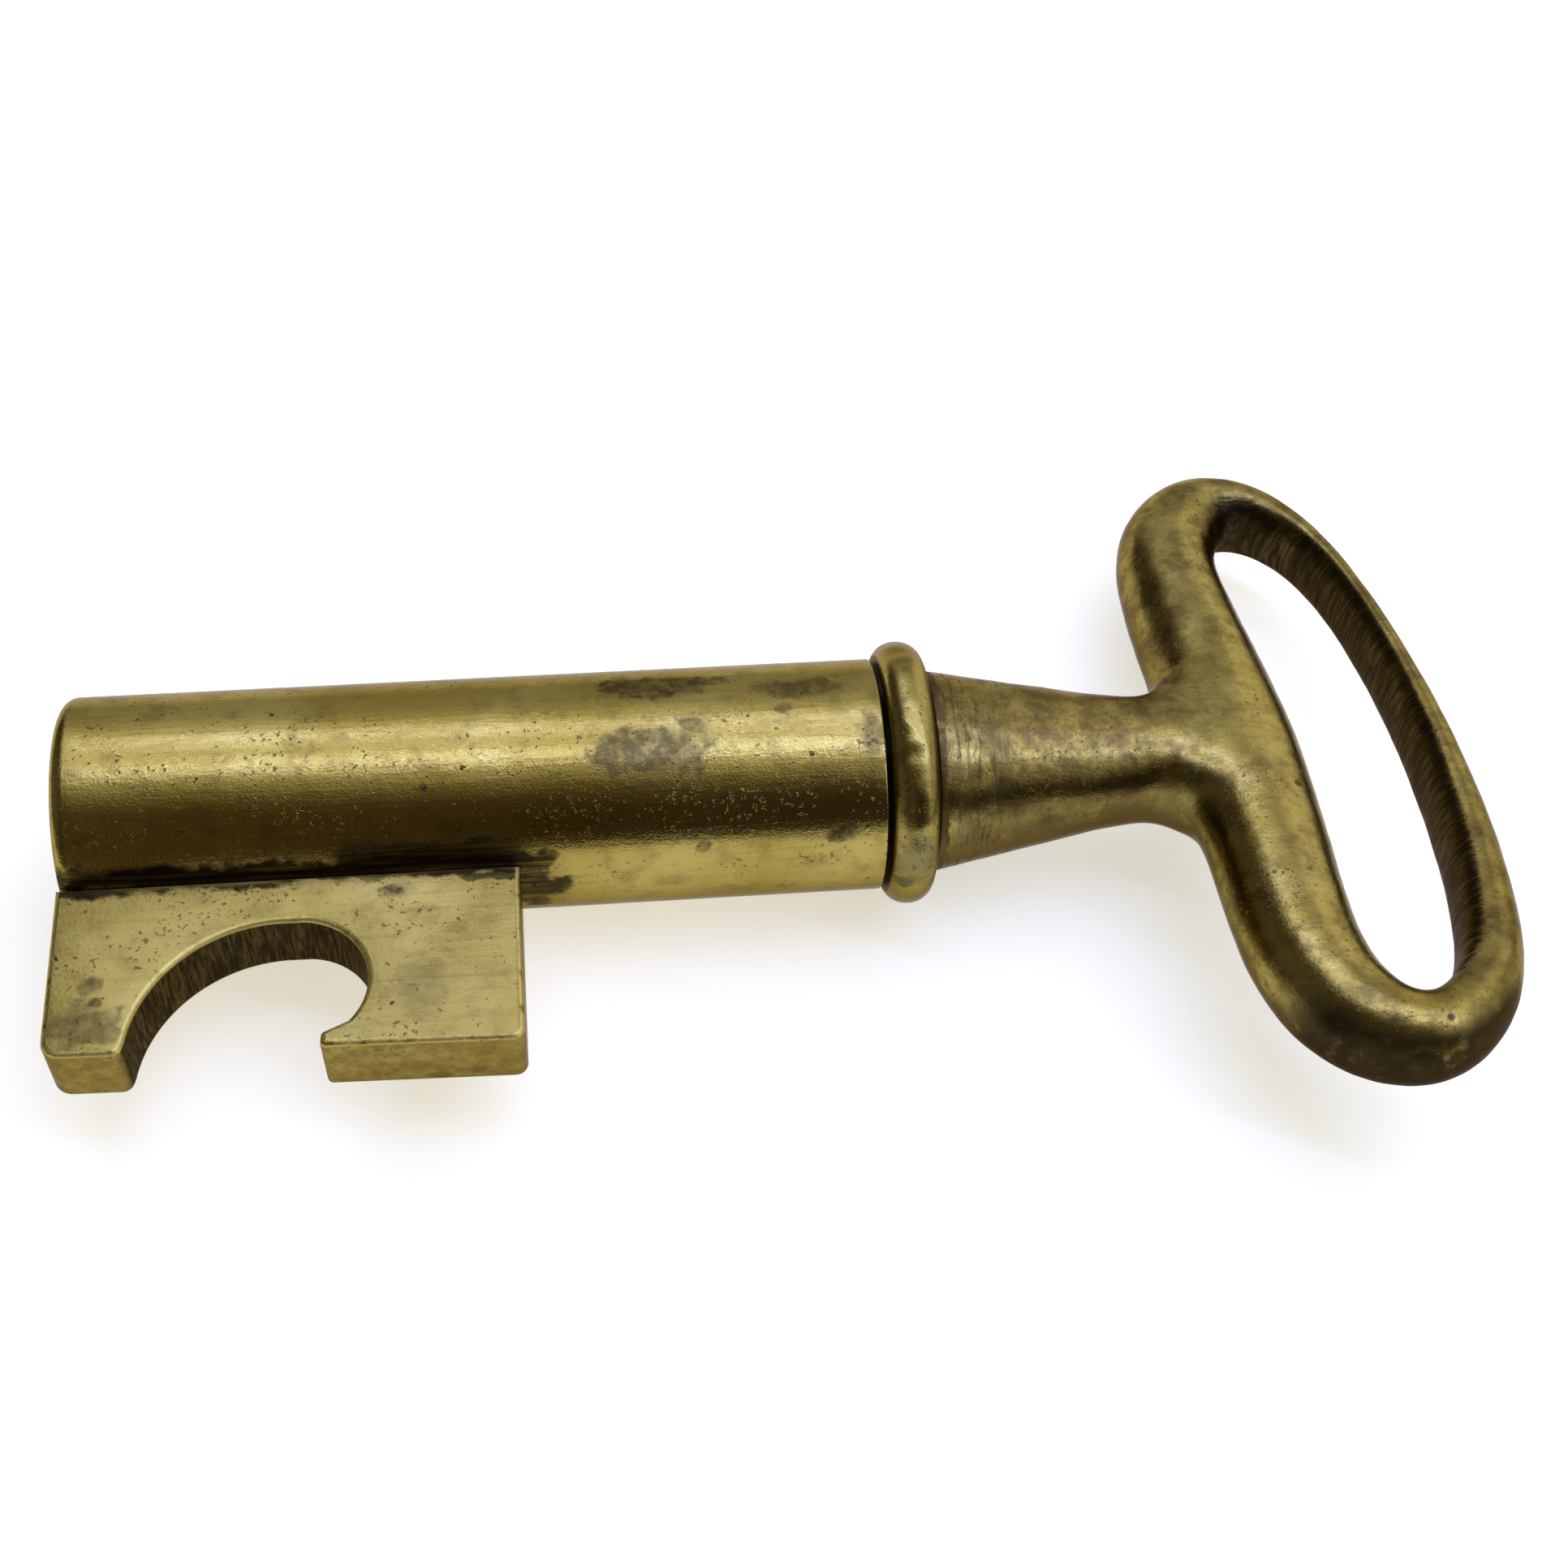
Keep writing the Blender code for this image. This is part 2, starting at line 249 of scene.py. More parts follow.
def length_of(tree, vector):
    """A vector's length."""
    return add(tree, "VectorMath", {0: vector}, operation="LENGTH").outputs["Value"]


def from_shaft(tree, place):
    """Distance from the shaft's axis."""
    return length_of(tree, vector_step(tree, "MULTIPLY", place, (0.0, 1.0, 1.0)))


def axes(tree, vector):
    """The x, y and z of a vector."""
    return add(tree, "SeparateXYZ", {0: vector}).outputs


def grain(tree, place, per_metre, detail=4.0, roughness=0.55, stretch=None, shift=0.0):
    """Even noise from 0 to 1, drawn out along an axis where stretch is small."""
    if stretch or shift:
        feeds = {"Vector": place, "Location": (shift, shift, shift)}
        if stretch:
            feeds["Scale"] = stretch
        place = add(tree, "Mapping", feeds).outputs[0]
    feeds = {"Vector": place, "Scale": per_metre, "Detail": detail, "Roughness": roughness}
    return add(tree, "TexNoise", feeds).outputs[0]


def between(tree, value, low, high):
    """Smoothly 0 at low and 1 at high; low may be the larger."""
    feeds = {"Value": value, "From Min": low, "From Max": high}
    return add(tree, "MapRange", feeds, interpolation_type="SMOOTHSTEP").outputs[0]


def over(tree, share, under, upper):
    """Lays the upper colour over the under one by share."""
    feeds = {0: share, 6: under, 7: upper}
    return add(tree, "Mix", feeds, data_type="RGBA").outputs[2]


def ragged_patch(tree, place, ragged, centre, size, straight=0.0):
    """1 inside a patch (stains, dirt and painted shade all use it), fading over a ragged rim;
    straight lengthens it both ways along X.
    """
    middle = tuple(c * MM for c in centre)
    offset = vector_step(tree, "SUBTRACT", place, middle)
    if straight:
        parts = axes(tree, offset)
        ends = arithmetic(tree, "ABSOLUTE", parts[0])
        ends = larger(tree, arithmetic(tree, "SUBTRACT", ends, straight * MM), 0.0)
        offset = add(tree, "CombineXYZ", {0: ends, 1: parts[1], 2: parts[2]}).outputs[0]
    per_size = tuple(1 / (s * MM) for s in size)
    reach = length_of(tree, vector_step(tree, "MULTIPLY", offset, per_size))
    # The noise pushes the rim in and out by about half of the stain's size.
    return between(tree, scaled(tree, ragged, 3.0, reach), 2.72, 2.12)


def aged_brass(
    name, brushed, stains=(), grime_and_shade=(), browned=0.5, gloss=0.27, tone=1.0, extra=None
):
    """Browned brass, rubbed bright again: mottle, specks, pits, brush marks and stains.

    brushed stretches the brush marks. stains and grime (dirt with painted shade) hold (centre,
    size, straight, strength).
    """

    def toned(colour):
        """A colour as deep as this piece's tone makes it."""
        return (*(c * tone for c in colour), 1.0)

    material = bpy.data.materials.new(name)
    material.use_nodes = True
    tree = material.node_tree
    shader = tree.nodes["Principled BSDF"]
    place = add(tree, "TexCoord").outputs["Object"]

    broad = grain(tree, place, 75, 3)  # patches of a centimetre
    mottle = grain(tree, place, 430, 7, 0.62)  # the tarnish, 2 mm and finer
    fine = grain(tree, place, 2300, 3, 0.6)  # grit of 0.4 mm
    crisp = grain(tree, place, 5200, 3, 0.6, shift=0.23)  # grit of 0.2 mm
    marks = grain(tree, place, 1500, 4, 0.7, stretch=brushed)  # brush marks and scratches

    shade = between(tree, broad, 0.36, 0.66)
    colour = over(tree, shade, toned(LIGHT_BRASS), toned(OLIVE_BRASS))
    tarnish = times(tree, between(tree, mottle, 0.46, 0.72), browned)
    colour = over(tree, tarnish, colour, toned(BROWNED_BRASS))
    streaks = times(tree, between(tree, marks, 0.52, 0.72), 0.35)
    colour = over(tree, streaks, colour, toned(BROWNED_BRASS))

    # Dark specks gather in clusters; pits are the hearts of shaken cells, a few of them.
    clusters = between(tree, grain(tree, place, 190, 3, 0.5, shift=0.31), 0.38, 0.66)
    specks = scaled(tree, clusters, 0.075, fine)
    specks = between(tree, specks, 0.665, 0.735)
    wander = add(tree, "TexNoise", {"Vector": place, "Scale": 900.0, "Detail": 2.0}).outputs[1]
    jolt = add(tree, "VectorMath", {0: wander, "Scale": 1.6 * MM}, operation="SCALE").outputs[0]
    shaken = vector_step(tree, "ADD", place, jolt)
    cells = add(tree, "TexVoronoi", {"Vector": shaken, "Scale": 330.0})
    chosen = between(tree, cells.outputs["Color"], 0.66, 0.72)
    hearts = between(tree, cells.outputs["Distance"], 0.11, 0.05)
    pits = times(tree, hearts, chosen, between(tree, fine, 0.38, 0.52))
    dark = larger(tree, times(tree, specks, 0.7), pits)
    colour = over(tree, times(tree, dark, 0.85), colour, (*OXIDE_AND_SHADE, 1.0))

    def masks(places):
        """The patches of one list, stains or grime with painted shade, joined into one mask."""
        total = None
        for centre, size, straight, strength in places:
            one = ragged_patch(tree, place, mottle, centre, size, straight)
            one = times(tree, one, strength)
            total = one if total is None else larger(tree, total, one)
        return total

    dull = times(tree, dark, 0.10)
    if stains:
        spread = masks(stains)
        speckled = between(tree, grain(tree, place, 900, 5, 0.7, shift=0.17), 0.30, 0.62)
        spread = times(tree, spread, scaled(tree, speckled, 0.55, 0.45))
        colour = over(tree, spread, colour, (*GREY_BROWN, 1.0))
        dull = larger(tree, dull, times(tree, spread, 0.7))
    # Grime: dirt with painted shade, darkening creases, joints and undersides.
    if grime_and_shade:
        spread = masks(grime_and_shade)
        scraped = between(tree, marks, 0.30, 0.56)
        spread = times(tree, spread, scaled(tree, scraped, 0.5, 0.5))
        colour = over(tree, spread, colour, (*OXIDE_AND_SHADE, 1.0))
        dull = larger(tree, dull, spread)
    if extra:
        colour, dull = extra(tree, place, colour, dull)

    rough = scaled(tree, mottle, 0.16, gloss - 0.08)
    rough = scaled(tree, dull, 0.28, rough)
    height = scaled(tree, marks, 1.3, times(tree, fine, 1.2))
    height = scaled(tree, crisp, 1.2, height)
    height = scaled(tree, mottle, 1.0, height)
    height = scaled(tree, dark, -1.6, height)
    bump = add(tree, "Bump", {"Height": height, "Strength": 1.0, "Distance": 0.015 * MM})

    tree.links.new(colour, shader.inputs["Base Color"])
    tree.links.new(rough, shader.inputs["Roughness"])
    tree.links.new(bump.outputs[0], shader.inputs["Normal"])
    shader.inputs["Metallic"].default_value = 1.0
    shader.inputs["Specular Tint"].default_value = (*EDGE_GLINT, 1.0)
    return material


lengthwise = (0.06, 1.0, 1.0)
all_ways = (1.0, 1.0, 1.0)
barrel.data.materials.append(
    aged_brass(
        "barrel_brass",
        lengthwise,
        stains=[
            ((49.4, 3.4, 9.4), (4.8, 1.9, 1.9), 0, 0.90),
            ((48.6, -3.3, 9.4), (4.8, 2.4, 2.4), 0, 0.80),
            ((52.3, -1.3, 9.9), (1.4, 1.0, 1.0), 0, 0.70),
            ((62.0, 2.0, 9.8), (3.9, 1.4, 1.4), 0, 0.75),
            ((59.9, -0.1, 10.0), (0.9, 0.6, 0.6), 0, 0.70),
            ((64.3, -9.0, 4.3), (1.3, 1.0, 1.0), 0, 0.95),
            ((52.7, -9.3, 3.7), (0.6, 0.6, 0.6), 0, 0.80),
            ((67.0, -2.9, 9.6), (1.0, 2.2, 2.2), 0, 0.60),
            ((30.0, -5.3, 8.5), (0.35, 0.35, 0.35), 0, 1.00),
        ],
        # Grime: dirt with painted shade along the bit's root, and the bit's painted shadow on the
        # barrel past its right end.
        grime_and_shade=[
            ((18.6, -9.5, 3.3), (1.6, 1.5, 1.5), 18.6, 0.97),
            ((30.0, -9.0, 4.2), (2.0, 1.4, 1.5), 6.5, 0.85),
            ((38.6, -9.9, 0.4), (2.6, 1.5, 4.4), 0, 0.92),
        ],
        browned=0.50,
        gloss=0.17,
    )
)
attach(barrel, "sleeve")
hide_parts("barrel")

# ---------------------------------------------------------------------------------------
# End plug. A turned brass disc soldered into the closed end of the tube. A fine line of
# solder shows round it, and the lathe's rings are still on its face.

plug_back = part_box("end_plug")[1].x / MM
plug_radius = plug_hole_radius - 0.09  # leaves the solder line
plug_recess = 0.06
face_rings = 12
plug_rows = [(plug_recess, 0.05)]
for step in range(1, face_rings + 1):
    plug_rows.append((plug_recess, plug_radius * 0.97 * step / face_rings))
plug_rows += [(0.09, plug_radius * 0.99), (0.2, plug_radius), (plug_back, plug_radius)]
plug = turned("end_plug_disc", plug_rows, 128)


def lathe_rings(tree, place, colour, dull):
    """Darkens rings about the shaft, as a facing tool leaves them."""
    reach = from_shaft(tree, place)
    feeds = {"W": reach, "Scale": 2600.0, "Detail": 3.0}
    rings = add(tree, "TexNoise", feeds, noise_dimensions="1D")
    share = times(tree, between(tree, rings.outputs[0], 0.45, 0.68), 0.45)
    rim = between(tree, reach, (plug_radius - 0.5) * MM, plug_radius * MM)
    share = larger(tree, share, times(tree, rim, 0.8))
    return over(tree, share, colour, (*GREY_BROWN, 1.0)), larger(tree, dull, share)


plug.data.materials.append(
    aged_brass("plug_brass", all_ways, browned=0.6, gloss=0.34, extra=lathe_rings)
)
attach(plug, "sleeve")
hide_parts("end_plug")

# ---------------------------------------------------------------------------------------
# Opener bit. A flat brass plate brazed along the barrel, cut out by hand so that it grips
# the rim of a crown cap and its hook levers the cap off. Its edges are filed soft.

bit_low, bit_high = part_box("opener_bit")
bit_length = bit_high.x / MM
bit_thickness = (bit_high.z - bit_low.z) / MM
left_reach = 25.2
right_reach = -bit_low.y / MM
cap_arc_centre, cap_arc_radius = (18.3, -25.9), 12.0
hook_arc_centre, hook_arc_radius = (19.4, -19.6), 5.7
hook_tip = (21.5, -24.9)
bit_root = -7.0  # inside the barrel's skin until the saddle is cut
filed_width = 0.5
saddle_clearance = 0.04
groove_radius = 0.34
groove_height = 3.16
overshoot = 5.0


def arc(centre, radius, first_degrees, last_degrees, steps):
    """Corners of zero rounding along an arc."""
    found = []
    for step in range(steps + 1):
        angle = math.radians(first_degrees + (last_degrees - first_degrees) * step / steps)
        x = centre[0] + radius * math.cos(angle)
        found.append((x, centre[1] + radius * math.sin(angle), 0))
    return found


def rounded_outline(corners, steps=9):
    """A closed outline. Each corner is (x, y, radius) and is replaced by an arc."""
    points = []
    count = len(corners)
    for i, (x, y, radius) in enumerate(corners):
        here = Vector((x, y))
        if radius == 0:
            points.append(here)
            continue
        before = (Vector(corners[i - 1][:2]) - here).normalized()
        after = (Vector(corners[(i + 1) % count][:2]) - here).normalized()
        half = before.angle(after) / 2
        centre = here + (before + after).normalized() * (radius / math.sin(half))
        first = here + before * (radius / math.tan(half)) - centre
        second = here + after * (radius / math.tan(half)) - centre
        sweep = first.angle_signed(second)
        for step in range(steps + 1):
            spun = first.copy()
            spun.rotate(Matrix.Rotation(-sweep * step / steps, 2))
            points.append(centre + spun)
    return points


def cut(item, cutter):
    """Takes one closed body away from another and drops the cutter."""
    boolean = item.modifiers.new("cut", "BOOLEAN")
    boolean.operation = "DIFFERENCE"
    boolean.solver = "EXACT"
    boolean.object = cutter
    settle(item)
    bpy.data.objects.remove(cutter, do_unlink=True)


def settle(item):
    """Makes what the modifiers show into the piece's own mesh."""
    bpy.context.view_layer.update()
    graph = bpy.context.evaluated_depsgraph_get()
    mesh = bpy.data.meshes.new_from_object(item.evaluated_get(graph))
    item.modifiers.clear()
    item.data = mesh


corners = [(0.0, bit_root, 0), (0.0, -left_reach, 1.6), (6.1, -left_reach - 0.15, 0.9)]
corners += arc(cap_arc_centre, cap_arc_radius, 172, 92, 40)
corners += arc(hook_arc_centre, hook_arc_radius, 84, -42, 36)
corners += [
    (hook_tip[0], hook_tip[1] + 0.5, 0.5),
    (hook_tip[0] - 0.1, -right_reach + 0.4, 0.5),
    (bit_length, -right_reach, 1.0),
    (bit_length, bit_root, 0),
]
builder = bmesh.new()
outline = rounded_outline(corners)
bottom = [builder.verts.new((p[0], p[1], -bit_thickness / 2)) for p in outline]
top = [builder.verts.new((p[0], p[1], bit_thickness / 2)) for p in outline]
bridge(builder, bottom, top)
builder.faces.new(bottom)
builder.faces.new(top)
bit = make_piece(builder, "opener_bit_plate")
filed = bit.modifiers.new("filed edges", "BEVEL")
filed.width = filed_width * MM
filed.segments = 4
filed.limit_method = "ANGLE"
filed.angle_limit = math.radians(50)
settle(bit)
saddle_radius = barrel_radius + saddle_clearance
saddle_rows = [(-overshoot, saddle_radius), (bit_length + overshoot, saddle_radius)]
cut(bit, turned("saddle", saddle_rows, barrel_steps))
root_y = -math.sqrt(barrel_radius**2 - (bit_thickness / 2) ** 2)
for side in (1, -1):
    groove_rows = [(-overshoot, groove_radius), (bit_length + overshoot, groove_radius)]
    groove = turned("root groove", groove_rows, 20)
    groove_place = (0, (root_y - 0.12) * MM, side * groove_height * MM)
    groove.data.transform(Matrix.Translation(groove_place))
    cut(bit, groove)
soften(bit.data, 35)


def filed_walls_and_sheen(tree, place, colour, dull):
    """Edges worn pale, with a painted highlight on the filed bevels, browned outer sides, and dark
    walls with upright file strokes.
    """
    facing = axes(tree, add(tree, "TexCoord").outputs["Normal"])
    upright = arithmetic(tree, "ABSOLUTE", facing[2])
    spread = grain(tree, place, 900, 4, 0.65, shift=0.6)
    sides = between(tree, upright, 0.35, 0.10)
    share = times(tree, sides, between(tree, spread, 0.15, 0.75), 0.85)
    colour = over(tree, share, colour, (*BROWNED_BRASS, 1.0))
    # The filed bevels turn lighter: wear, with a painted highlight as well.
    worn_and_sheen = times(tree, between(tree, upright, 0.22, 0.5), between(tree, upright, 0.99, 0.9))
    worn_and_sheen = times(tree, worn_and_sheen, between(tree, spread, 0.30, 0.50))
    colour = over(tree, worn_and_sheen, colour, (*WORN_AND_SHEEN_BRASS, 1.0))
    dull = scaled(tree, worn_and_sheen, 0.6, dull)
    # The cut-out's own walls, and not the bit's outer sides.
    parts = axes(tree, place)
    inside = between(tree, parts[1], -25.3 * MM, -24.6 * MM)
    right = between(tree, parts[0], 30.0 * MM, 26.0 * MM)
    left = between(tree, parts[0], 1.0 * MM, 3.5 * MM)
    wall = times(tree, times(tree, sides, inside), times(tree, left, right))
    upward = (1.0, 1.0, 0.09)
    strokes = between(tree, grain(tree, place, 3800, 4, 0.7, stretch=upward), 0.40, 0.66)
    share = times(tree, wall, scaled(tree, strokes, -0.30, 0.97))
    return over(tree, share, colour, (*OXIDE_AND_SHADE, 1.0)), larger(tree, dull, share)


bit.data.materials.clear()
bit.data.materials.append(
    aged_brass(
        "bit_brass",
        lengthwise,
        stains=[
            ((2.9, -22.6, 3.15), (3.3, 1.9, 3.0), 0, 0.62),
            ((3.5, -19.0, 3.15), (1.0, 0.8, 1.0), 0, 0.70),
            ((4.1, -20.6, 3.15), (0.6, 0.5, 1.0), 0, 0.75),
            ((27.2, -11.5, 3.15), (1.3, 0.8, 1.0), 0, 1.00),
            ((29.4, -20.9, 3.15), (2.2, 2.6, 1.5), 0, 0.28),
            ((30.5, -26.0, -2.2), (0.9, 1.0, 0.5), 0, 0.75),
            ((33.5, -26.0, -1.7), (0.8, 1.0, 0.5), 0, 0.60),
        ],
        # Grime: dirt with painted shade in the creases along the bit's root, above and below it,
        # and at its right end.
        grime_and_shade=[
            ((18.6, -9.3, 3.15), (1.0, 1.25, 1.2), 18.4, 0.97),
            ((35.0, -10.6, 3.15), (1.0, 0.5, 1.0), 1.6, 0.80),
            ((18.6, -9.3, -3.15), (1.0, 0.95, 1.0), 18.4, 0.95),
        ],
        browned=0.42,
        gloss=0.31,
        tone=0.94,
        extra=filed_walls_and_sheen,
    )
)
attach(bit, "sleeve")
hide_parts("opener_bit")

# ---------------------------------------------------------------------------------------
# Collar ring. A loose round brass bead that fills the joint between barrel and bow. Knocks
# have left flats and nicks on its crown, and the lines beside it are dark with dirt and painted
# shade.

ring_low, ring_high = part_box("collar_ring")
ring_start, ring_end = ring_low.x / MM, ring_high.x / MM
ring_radius = ring_high.z / MM
ring_bore = 6.6
bead_radius = (ring_end - ring_start) / 2
# Each knock is (degrees round the ring, share across the bead, depth, half width).
knocks = [
    (119, 0.42, 0.20, 1.0),
    (110, 0.34, 0.16, 0.9),
    (103, 0.55, 0.12, 1.3),
    (129, 0.60, 0.14, 1.4),
    (141, 0.40, 0.12, 1.6),
    (158, 0.62, 0.14, 1.2),
    (182, 0.45, 0.16, 0.8),
    (88, 0.50, 0.12, 1.8),
    (62, 0.44, 0.13, 1.2),
    (20, 0.58, 0.15, 1.0),
    (338, 0.42, 0.14, 1.5),
    (286, 0.55, 0.16, 1.2),
    (236, 0.48, 0.13, 1.7),
]


def knocked(x, radius, across):
    """The bead's radius with its filed unevenness and its knocks."""

    def at(angle):
        spot = Vector((x, radius * math.cos(angle), radius * math.sin(angle)))
        dip = 0.05 * (0.5 + 0.5 * noise.noise(spot * 0.45))
        for degrees, middle, depth, half_width in knocks:
            turn = (angle - math.radians(degrees) + math.pi) % (2 * math.pi) - math.pi
            round_ring, over_bead = turn * radius, (across - middle) * 4.0
            away = (round_ring / half_width) ** 2 + (over_bead / half_width) ** 2
            dip += depth * math.exp(-away * 1.4)
        return radius - dip

    return at


bead_steps = 24
bead_fullness = 0.8  # 1 is a true half round
bead_foot = ring_radius - bead_radius - 0.1
ring_rows = [(ring_start, ring_bore), (ring_start, bead_foot)]
for step in range(bead_steps + 1):
    angle = math.pi * step / bead_steps
    x = ring_start + bead_radius * (1 - math.cos(angle))
    rise = math.sin(angle) ** bead_fullness
    radius = ring_radius - bead_radius * (1 - rise)
    ring_rows.append((x, knocked(x, radius, step / bead_steps)))
ring_rows += [(ring_end, bead_foot), (ring_end, ring_bore)]
ring = turned("collar_bead", ring_rows, 220, closed=True)


def seam_dirt_and_shade(tree, place, colour, dull):
    """Dirt with painted shade down both sides of the bead, and a breath of green at its lowest
    point.
    """
    along = axes(tree, place)[0]
    left = between(tree, along, (ring_start + 1.2) * MM, (ring_start + 0.8) * MM)
    near = (barrel_radius + 0.42) * MM, (barrel_radius + 0.12) * MM
    left = times(tree, left, between(tree, from_shaft(tree, place), *near))
    right = between(tree, along, (ring_end - 0.7) * MM, (ring_end - 0.1) * MM)
    share = times(tree, larger(tree, left, right), 0.65)
    colour = over(tree, share, colour, (*OXIDE_AND_SHADE, 1.0))
    ragged = grain(tree, place, 700, 5, 0.6)
    green = ragged_patch(tree, place, ragged, (70.3, -11.0, 2.6), (1.8, 1.6, 3.4))
    colour = over(tree, times(tree, green, 0.45), colour, (*VERDIGRIS, 1.0))
    return colour, larger(tree, dull, share)


ring.data.materials.append(
    aged_brass(
        "ring_brass",
        all_ways,
        stains=[
            ((69.4, -11.0, -0.6), (0.9, 1.2, 0.8), 0, 0.8),
            ((70.8, 9.2, 6.0), (1.6, 2.4, 2.4), 0, 0.5),
        ],
        browned=0.8,
        gloss=0.22,
        tone=0.85,
        extra=seam_dirt_and_shade,
    )
)
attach(ring, "ring")
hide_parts("collar_ring")

# ---------------------------------------------------------------------------------------
# Bow handle. One brass casting: a tapering neck that flows into a flattened loop, filed and
# brushed by hand. Its inner bar is heavy and round, its outer bar thin and flat inside.

neck_start = ring_end + 0.06
neck_base_radius = 8.9
neck_waist_radius = 5.2
neck_waist_x = 92.0
socket_radius = 5.3
socket_depth = 7.5
bow_tilt = math.radians(-6)
bow_lean = -0.045
loop_swell = 1.068
neck_swell = 1.045

# The loop's stations from the middle of the outer bar round the far end, back along the
# inner bar and round the near end: centre x, centre y, half width in plan, half height.
loop = [
    (117.9, 0.0, 1.9, 4.0),
    (117.7, 6.0, 1.7, 3.9),
    (117.2, 12.0, 1.6, 3.8),
    (116.5, 17.4, 1.5, 3.7),
    (115.4, 22.4, 1.6, 3.6),
    (114.0, 26.4, 1.8, 3.6),
    (111.9, 29.7, 2.2, 3.7),
    (109.0, 31.8, 2.8, 4.0),
    (105.4, 32.0, 3.8, 4.4),
    (102.4, 29.5, 4.7, 4.7),
    (100.4, 25.5, 4.9, 4.8),
    (99.9, 20.4, 5.1, 4.9),
    (100.1, 13.8, 5.4, 5.0),
    (100.4, 7.6, 5.6, 5.1),
    (100.7, 0.0, 5.7, 5.2),
    (100.3, -7.6, 5.6, 5.1),
    (100.0, -13.8, 5.4, 5.0),
    (99.7, -20.4, 5.2, 4.9),
    (100.2, -25.5, 5.2, 4.9),
    (102.2, -29.6, 4.8, 4.8),
    (105.4, -31.9, 3.9, 4.6),
    (108.9, -31.8, 3.3, 4.5),
    (111.9, -29.7, 3.0, 4.3),
    (114.2, -26.6, 2.8, 4.2),
    (115.7, -22.5, 2.6, 4.1),
    (116.7, -17.5, 2.4, 4.0),
    (117.4, -12.0, 2.3, 4.0),
    (117.8, -6.0, 2.1, 4.0),
]
middle = 14  # the station opposite the shaft
around = 8


def loop_ring(builder, i):
    """Eight points round one station; point 0 is outside the loop, 2 on top, 4 inside.

    Towards the thin outer bar the two inner corners move out, which leaves a flat inner wall.
    """
    x, y, wide, high = loop[i]
    before, after = loop[i - 1], loop[(i + 1) % len(loop)]
    along = Vector((after[0] - before[0], after[1] - before[1])).normalized()
    out = Vector((along.y, -along.x))
    flatness = max(0.0, min(1.0, (x - 103.0) / 7.0))
    ring = []
    for k in range(around):
        angle = 2 * math.pi * k / around
        across, up = math.cos(angle), math.sin(angle)
        if k in (3, 5):
            across *= 1 + 0.27 * flatness
            up *= 1 + 0.10 * flatness
        if k == 4:
            across *= 1 - 0.03 * flatness
        flat = Vector((x, y)) + out * across * wide * loop_swell
        up *= high * loop_swell
        ring.append(builder.verts.new((flat.x + bow_lean * flat.y, flat.y, up)))
    return ring


def neck_ring(builder, x, radius):
    """Twelve points about the shaft."""
    ring = []
    for j in range(12):
        angle = math.radians(30 * j)
        r = radius * neck_swell
        ring.append(builder.verts.new((x, r * math.cos(angle), r * math.sin(angle))))
    return ring


cage = bmesh.new()
rings = [loop_ring(cage, i) for i in range(len(loop))]
opened = (6, 7, 0, 1)  # the faces left out where the neck joins
for i, first in enumerate(rings):
    following = rings[(i + 1) % len(rings)]
    for k in range(around):
        if i in (middle - 1, middle) and k in opened:
            continue
        after = (k + 1) % around
        cage.faces.new((first[k], first[after], following[after], following[k]))
bmesh.ops.delete(cage, geom=[rings[middle][k] for k in (7, 0, 1)], context="VERTS")
far, near, root = rings[middle - 1], rings[middle + 1], rings[middle]
seat = [far[0], far[1], far[2], root[2], near[2], near[1]]
seat += [near[0], near[7], near[6], root[6], far[6], far[7]]
waist = neck_ring(cage, neck_waist_x, neck_waist_radius)
flare = []
for low, high in zip(waist, seat):
    mixed = low.co.lerp(high.co, 0.38)
    mixed.x = min(mixed.x, neck_waist_x + 3.4)
    flare.append(cage.verts.new(mixed))
bridge(cage, seat, flare)
bridge(cage, flare, waist)
previous = waist
slope = (neck_base_radius - neck_waist_radius) / (neck_waist_x - neck_start)
for x in (neck_start + 10.0, neck_start + 1.2, neck_start + 0.25):
    following = neck_ring(cage, x, neck_waist_radius + slope * (neck_waist_x - x))
    bridge(cage, previous, following)
    previous = following
for radius in (neck_base_radius - 0.2, neck_base_radius - 1.2):
    following = neck_ring(cage, neck_start, radius)
    bridge(cage, previous, following)
    previous = following
cage.faces.new(previous)
bmesh.ops.rotate(cage, cent=(0, 0, 0), matrix=Matrix.Rotation(bow_tilt, 3, "X"), verts=cage.verts)
handle = make_piece(cage, "bow_handle_casting")
rounding = handle.modifiers.new("cast rounding", "SUBSURF")
rounding.levels = 4
rounding.render_levels = 4
settle(handle)
filed_points = []
for vertex in handle.data.vertices:
    dip = 0.10 * (0.5 + 0.5 * noise.noise(vertex.co * 260))  # broad hollows left by the file
    dip += 0.05 * (0.5 + 0.5 * noise.noise(vertex.co * 700))  # the casting's skin
    filed_points.extend(vertex.co - vertex.normal * dip * MM)
handle.data.vertices.foreach_set("co", filed_points)
handle.data.update()
socket_rows = [(neck_start - 3.0, socket_radius), (neck_start + socket_depth, socket_radius)]
cut(handle, turned("socket", socket_rows, 96))
soften(handle.data, 50)


